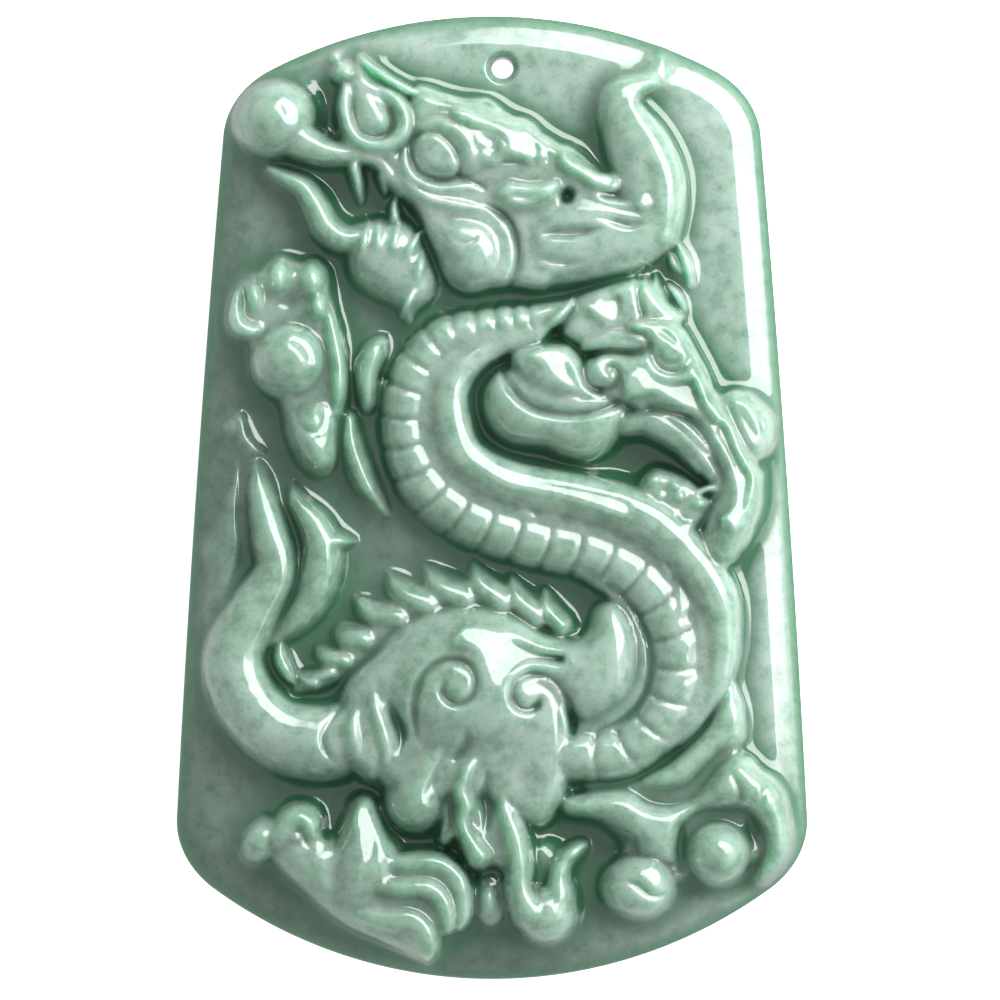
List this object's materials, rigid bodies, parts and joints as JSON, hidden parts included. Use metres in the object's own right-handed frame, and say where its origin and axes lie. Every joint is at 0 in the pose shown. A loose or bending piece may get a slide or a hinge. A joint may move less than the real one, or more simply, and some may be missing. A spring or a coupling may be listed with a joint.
{
  "type": "jade pendant",
  "caption": "Tapered stone tablet pendant with rounded ends, a cord hole near the narrow end and a dragon in high relief on its front.",
  "frame": {"origin": "middle of the tablet's outline, on the plane of its flat back", "axes": "+Z out of the back towards the carved front, +Y along the tablet towards the end with the cord hole, +X to the right of the carving seen from the front"},
  "size_m": [0.0394, 0.0603, 0.0094],
  "materials": {
    "jade": "polished, slightly translucent, mottled grey-green with darker green in the recesses"
  },
  "bodies": {
    "root": {"jade_pendant": "jade"}
  },
  "joints": []
}
